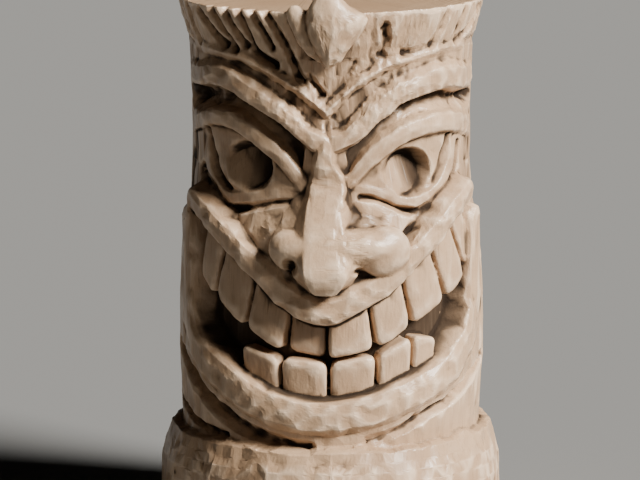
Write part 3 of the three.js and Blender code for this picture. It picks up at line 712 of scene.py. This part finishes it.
def press(piece, place, half, depth):
    """Pushes a small oval of the surface in towards the log's axis."""
    points = read_vertices(piece)
    angle, percent, reach = log_places(points)
    across = np.radians(angle - place[0]) / half[0]
    up = (height_at(percent) - height_at(place[1])) / TRUNK / half[1]
    share = round_fade(np.minimum(np.hypot(across, up), 1)) * (reach > 0.9)
    points[:, :2] *= (1 - share * depth / (reach * TRUNK))[:, None]
    place_vertices(piece, points)


def roughness_at(points):
    """Where the wood is left rough: the stump, the forehead, the nose and the left side."""
    angle, percent, _ = log_places(points)
    patches = np.array([noise.noise(Vector(point) * PATCH_SCALE) for point in points])
    base = smooth(0, -4, percent) * smooth(-0.05, 0.25, patches)
    forehead = smooth(70, 76, percent) * smooth(93, 88, percent) * smooth(34, 24, np.abs(angle - 6))
    nose = smooth(54, 50, percent) * smooth(39, 43, percent) * smooth(9, 5, np.abs(angle - 5))
    hair = smooth(88, 92, percent) * smooth(100.5, 99.5, percent)
    side = smooth(-62, -76, angle) + smooth(66, 80, angle)
    return np.clip(0.14 + 0.55 * base + 0.6 * forehead + 0.5 * nose + 0.4 * hair + 0.35 * side, 0, 1)


def roughen(piece):
    """Torn and pitted grain, deeper where the wood is left rough."""
    points = read_vertices(piece)
    normals = read_vertices(piece, "normal")
    rough = roughness_at(points)
    ends = np.abs(normals[:, 2]) > 0.9
    lumps = np.array([noise.noise(Vector(point) * LUMP_SCALE) for point in points])
    grain = np.array([noise.noise(Vector(place)) for place in points * FIBRE_SCALE])
    pits = np.array([noise.noise(Vector(point) * PIT_SCALE + PIT_SHIFT) for point in points])
    pits = np.maximum(0, pits - 0.25)
    move = TORN_DEPTH * (0.8 * lumps + 1.1 * grain - 1.2 * pits) * rough
    move = np.where(ends, move * 0.25, move)
    points += normals * move[:, None]
    place_vertices(piece, points)


def hold_in_box(piece):
    """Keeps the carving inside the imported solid's outer sizes."""
    points = read_vertices(piece)
    place_vertices(piece, np.clip(points, LOW, HIGH))


def mark_hollows(piece):
    """Stores how far each place lies below its surroundings, near and wide, for painted shade and wear."""
    count = len(piece.data.vertices)
    edges = np.empty(len(piece.data.edges) * 2, np.int32)
    piece.data.edges.foreach_get("vertices", edges)
    one, other = edges.reshape(-1, 2).T
    points = read_vertices(piece)
    normals = read_vertices(piece, "normal")
    around = points.copy()
    at_ledge = np.abs(points[:, 2] - LEDGE) / LEDGE_SPAN
    outer = np.hypot(points[:, 0], points[:, 1]) > 0.97 * TRUNK
    # The painted shade and the wear are eased off near the ledge's edge.
    ledge_fade = np.where(outer, smooth(0.6, 1.4, at_ledge) * 0.7 + 0.3, 1)
    degree = np.maximum(np.bincount(one, minlength=count) + np.bincount(other, minlength=count), 1)
    for name, rounds, full_depth in HOLLOW_KINDS:
        for _ in range(rounds):
            for axis in range(3):
                values = around[:, axis]
                total = np.bincount(one, values[other], count)
                total += np.bincount(other, values[one], count)
                around[:, axis] = total / degree
        below = ((around - points) * normals).sum(1) / full_depth * ledge_fade
        attribute = piece.data.attributes.new(name, "FLOAT", "POINT")
        attribute.data.foreach_set("value", below.astype(np.float32))


def mark_end_grain(piece):
    """Stores the faces where the wood is sawn across its grain."""
    faces = len(piece.data.polygons)
    normals = np.empty(faces * 3, np.float32)
    centers = np.empty(faces * 3, np.float32)
    piece.data.polygons.foreach_get("normal", normals)
    piece.data.polygons.foreach_get("center", centers)
    heights = centers.reshape(-1, 3)[:, 2]
    at_end = np.minimum(np.abs(heights - SAWN_TOP), heights)
    sawn = (np.abs(normals.reshape(-1, 3)[:, 2]) > 0.85) & (at_end < SAWN_DEPTH)
    attribute = piece.data.attributes.new("end_grain", "FLOAT", "FACE")
    attribute.data.foreach_set("value", sawn.astype(np.float32))


def make_carving():
    log = carved_log()
    parts = make_teeth() + [make_nose()]
    parts += [make_wing(f"wing_{index}", *wing) for index, wing in enumerate(WINGS)]
    parts.append(dome("leaf", knob_outline(LEAF), *LEAF_REACH))
    parts.append(dome("petal", knob_outline(PETAL), *PETAL_REACH))
    bpy.ops.object.select_all(action="DESELECT")
    for part in parts + [log]:
        part.select_set(True)
    bpy.context.view_layer.objects.active = log
    bpy.ops.object.join()
    log.name = "tiki_carving"
    log.data.name = "tiki_carving"
    apply(log, "REMESH", mode="VOXEL", voxel_size=VOXEL)
    apply(log, "SMOOTH", factor=0.5, iterations=3)
    soften_nose(log)
    for nostril in NOSTRILS:
        press(log, *nostril)
    apply(log, "DECIMATE", ratio=min(1, FACES_KEPT / (2 * len(log.data.polygons))))
    hew(log, FLATS)
    roughen(log)
    hold_in_box(log)
    mark_hollows(log)
    mark_end_grain(log)
    bpy.ops.object.shade_smooth_by_angle(angle=EDGE_ANGLE)
    return log


class Nodes:
    """Adds linked nodes to a tree in short calls."""

    def __init__(self, tree):
        self.tree = tree

    def add(self, kind, settings=None, **inputs):
        node = self.tree.nodes.new(kind)
        for name, value in (settings or {}).items():
            setattr(node, name, value)
        for name, value in inputs.items():
            self.feed(node, name.replace("_", " "), value)
        return node

    def feed(self, node, name, value):
        """Sets or links an input, which goes by its name or its number."""
        socket = node.inputs[name]
        if isinstance(value, bpy.types.NodeSocket):
            self.tree.links.new(value, socket)
        else:
            socket.default_value = value

    def math(self, operation, *values):
        node = self.add("ShaderNodeMath", {"operation": operation})
        for index, value in enumerate(values):
            self.feed(node, index, value)
        return node.outputs[0]

    def noise(self, place, scale, detail, roughness):
        node = self.add(
            "ShaderNodeTexNoise", Vector=place, Scale=scale, Detail=detail, Roughness=roughness
        )
        return node.outputs["Fac"]

    def stretch(self, place, scale):
        """Draws a pattern out along the axes that have a small scale."""
        return self.add("ShaderNodeMapping", Vector=place, Scale=scale).outputs[0]

    def spread(self, value, low, high, new_low=0.0, new_high=1.0):
        """Runs from the new low to the new high as the value goes from low to high."""
        node = self.add("ShaderNodeMapRange", {"interpolation_type": "SMOOTHSTEP"}, Value=value)
        for index, number in enumerate((low, high, new_low, new_high), 1):
            node.inputs[index].default_value = number
        return node.outputs[0]

    def tint(self, share, under, over):
        """Lays one colour over another by a share."""
        node = self.add("ShaderNodeMix", {"data_type": "RGBA"})
        self.feed(node, 0, share)
        self.feed(node, 6, under)
        self.feed(node, 7, over)
        return node.outputs[2]


# The wood's colours: bare, darker streaks, a near-black for grain threads, cracks and painted shade, worn
# edges and growth rings
PALE = (0.5, 0.335, 0.205, 1)
WARM = (0.38, 0.24, 0.14, 1)
GRAIN_DARK_AND_SHADE = (0.022, 0.014, 0.009, 1)
WORN = (0.8, 0.61, 0.43, 1)
RING = (0.3, 0.185, 0.1, 1)

# How close the wood's marks are, and how far streaks and threads are drawn out up the log
MOTTLE_SCALE = 9
STREAK_SCALE = 130
STREAK_RUN = 0.07
THREAD_SCALE = 520
THREAD_RUN = 0.05
CHIP_SCALE = 260
GRIT_SCALE = 900
BUMP_STRENGTH = 0.35
BUMP_DEPTH = 0.0012
SHEEN_ROUGHNESS = 0.35
BARE_SPECULAR = 0.1
# The sawn ends: the heart's shift off the middle, the rings, and the cracks
HEART = (0.018, -0.011, 0)
RING_SCALE = 52.0
CRACK_SCALE = 7
CRACK_WIDTH = 0.006


def end_grain(nodes, place):
    """Growth rings round a heart that is a little off the middle, and cracks that run out from it."""
    heart = nodes.add("ShaderNodeVectorMath", {"operation": "ADD"})
    nodes.feed(heart, 0, place)
    nodes.feed(heart, 1, HEART)
    flat = nodes.stretch(heart.outputs[0], (1, 1, 0))
    kind = {"wave_type": "RINGS", "rings_direction": "Z"}
    wave = nodes.add("ShaderNodeTexWave", kind, Vector=flat, Scale=RING_SCALE)
    nodes.feed(wave, "Distortion", 5.0)
    nodes.feed(wave, "Detail Scale", 0.35)
    outward = nodes.add("ShaderNodeVectorMath", {"operation": "NORMALIZE"})
    nodes.feed(outward, 0, flat)
    split = nodes.noise(outward.outputs[0], CRACK_SCALE, 3, 0.6)
    line = nodes.math("ABSOLUTE", nodes.math("SUBTRACT", split, 0.5))
    thin = nodes.spread(line, 0.0, CRACK_WIDTH, 0.85, 0)
    reach = nodes.add("ShaderNodeVectorMath", {"operation": "LENGTH"})
    nodes.feed(reach, 0, flat)
    length = nodes.noise(outward.outputs[0], 2.5, 1, 0.5)
    start_of_crack = nodes.math("MULTIPLY", length, 0.1)
    inner = nodes.math("GREATER_THAN", reach.outputs["Value"], start_of_crack)
    return wave.outputs["Fac"], nodes.math("MULTIPLY", thin, inner)


def make_wood():
    wood = bpy.data.materials.new("carved_wood")
    wood.use_nodes = True
    nodes = Nodes(wood.node_tree)
    shader = wood.node_tree.nodes["Principled BSDF"]
    place = nodes.add("ShaderNodeTexCoord").outputs["Object"]
    sawn = nodes.add("ShaderNodeAttribute", {"attribute_name": "end_grain"}).outputs["Fac"]
    carved = nodes.math("SUBTRACT", 1.0, sawn)
    hollow = nodes.add("ShaderNodeAttribute", {"attribute_name": "hollow"}).outputs["Fac"]
    hollow = nodes.math("MULTIPLY", hollow, carved)
    crease = nodes.add("ShaderNodeAttribute", {"attribute_name": "crease"}).outputs["Fac"]
    crease = nodes.math("MULTIPLY", crease, carved)

    mottle = nodes.noise(place, MOTTLE_SCALE, 5, 0.6)
    streaks = nodes.noise(nodes.stretch(place, (1, 1, STREAK_RUN)), STREAK_SCALE, 3, 0.6)
    threads = nodes.noise(nodes.stretch(place, (1, 1, THREAD_RUN)), THREAD_SCALE, 2, 0.6)
    colour = nodes.tint(nodes.spread(mottle, 0.35, 0.7), PALE, WARM)
    colour = nodes.tint(nodes.spread(streaks, 0.45, 0.75, 0, 0.4), colour, WARM)
    colour = nodes.tint(nodes.spread(threads, 0.5, 0.8, 0, 0.25), colour, GRAIN_DARK_AND_SHADE)
    rings, cracks = end_grain(nodes, place)
    rings = nodes.math("MULTIPLY", sawn, nodes.spread(rings, 0.35, 0.9, 0, 0.6))
    colour = nodes.tint(rings, colour, RING)
    colour = nodes.tint(nodes.math("MULTIPLY", sawn, cracks), colour, GRAIN_DARK_AND_SHADE)
    # Painted shade: hollows and creases are darkened nearly to black, where shadow falls.
    colour = nodes.tint(nodes.spread(hollow, 0.03, 0.75, 0, 0.92), colour, GRAIN_DARK_AND_SHADE)
    colour = nodes.tint(nodes.spread(crease, 0.06, 0.65, 0, 0.93), colour, GRAIN_DARK_AND_SHADE)
    colour = nodes.tint(nodes.spread(crease, -0.08, -0.7, 0, 0.6), colour, WORN)
    wood.node_tree.links.new(colour, shader.inputs["Base Color"])
    rough = nodes.spread(mottle, 0.3, 0.7, 0.36, 0.52)
    rough = nodes.math("ADD", rough, nodes.spread(hollow, 0, 0.5, 0, 0.45))
    polish = nodes.spread(crease, -0.1, 0.3, 0.65, 0)
    wood.node_tree.links.new(polish, shader.inputs["Coat Weight"])
    shader.inputs["Coat Roughness"].default_value = SHEEN_ROUGHNESS
    shader.inputs["Specular IOR Level"].default_value = BARE_SPECULAR
    wood.node_tree.links.new(rough, shader.inputs["Roughness"])

    grit = nodes.noise(place, GRIT_SCALE, 3, 0.65)
    chips = nodes.noise(place, CHIP_SCALE, 4, 0.6)
    height = nodes.math("ADD", nodes.math("MULTIPLY", streaks, 0.3), nodes.math("MULTIPLY", chips, 0.8))
    height = nodes.math("ADD", height, nodes.math("MULTIPLY", grit, 0.3))
    bump = nodes.add("ShaderNodeBump", Height=height, Strength=BUMP_STRENGTH, Distance=BUMP_DEPTH)
    wood.node_tree.links.new(bump.outputs[0], shader.inputs["Normal"])
    return wood


FLOOR_SIZE = 40
FLOOR_GREY = (0.17, 0.17, 0.165, 1)
FLOOR_ROUGHNESS = 0.9
SKY_COLOUR = (0.9, 0.93, 1, 1)
SKY_STRENGTH = 0.008
KEY_PLACE = (2.2, -1.35, 1.95)
KEY_STRENGTH = 11
KEY_SPREAD = math.radians(20)
KEY_COLOUR = (1, 0.97, 0.93)


def make_studio():
    bpy.ops.object.select_all(action="DESELECT")
    bpy.ops.mesh.primitive_plane_add(size=FLOOR_SIZE)
    floor = start("studio_floor")
    plain = bpy.data.materials.new("studio_floor")
    plain.use_nodes = True
    shader = plain.node_tree.nodes["Principled BSDF"]
    shader.inputs["Base Color"].default_value = FLOOR_GREY
    shader.inputs["Roughness"].default_value = FLOOR_ROUGHNESS
    floor.data.materials.append(plain)

    world = bpy.data.worlds.new("studio")
    bpy.context.scene.world = world
    world.use_nodes = True
    world.node_tree.nodes["Background"].inputs["Color"].default_value = SKY_COLOUR
    world.node_tree.nodes["Background"].inputs["Strength"].default_value = SKY_STRENGTH

    bpy.ops.object.light_add(type="SUN", location=KEY_PLACE)
    key = bpy.context.object
    key.name = "key"
    key.data.energy = KEY_STRENGTH
    key.data.angle = KEY_SPREAD
    key.data.color = KEY_COLOUR
    key.rotation_euler = (-Vector(KEY_PLACE)).to_track_quat("-Z", "Y").to_euler()


# The photograph's viewpoint: long lens, a little above, aimed at the middle of the face
CAMERA_DISTANCE = 4.58
CAMERA_RISE = math.radians(10.5)
CAMERA_AIM = Vector((-0.011, 0, 0.292))
VIEW_WIDTH = 0.64
SENSOR = 36


def make_camera():
    back = Vector((0, -math.cos(CAMERA_RISE), math.sin(CAMERA_RISE)))
    bpy.ops.object.camera_add(location=CAMERA_AIM + back * CAMERA_DISTANCE)
    camera = bpy.context.object
    camera.rotation_euler = (-back).to_track_quat("-Z", "Y").to_euler()
    camera.data.sensor_width = SENSOR
    camera.data.lens = SENSOR * CAMERA_DISTANCE / VIEW_WIDTH
    camera.data.clip_end = 100
    bpy.context.scene.camera = camera


make_camera()
make_studio()
carving = make_carving()
carving.data.materials.clear()
carving.data.materials.append(make_wood())
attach(carving, "root")
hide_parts("tiki_stump")
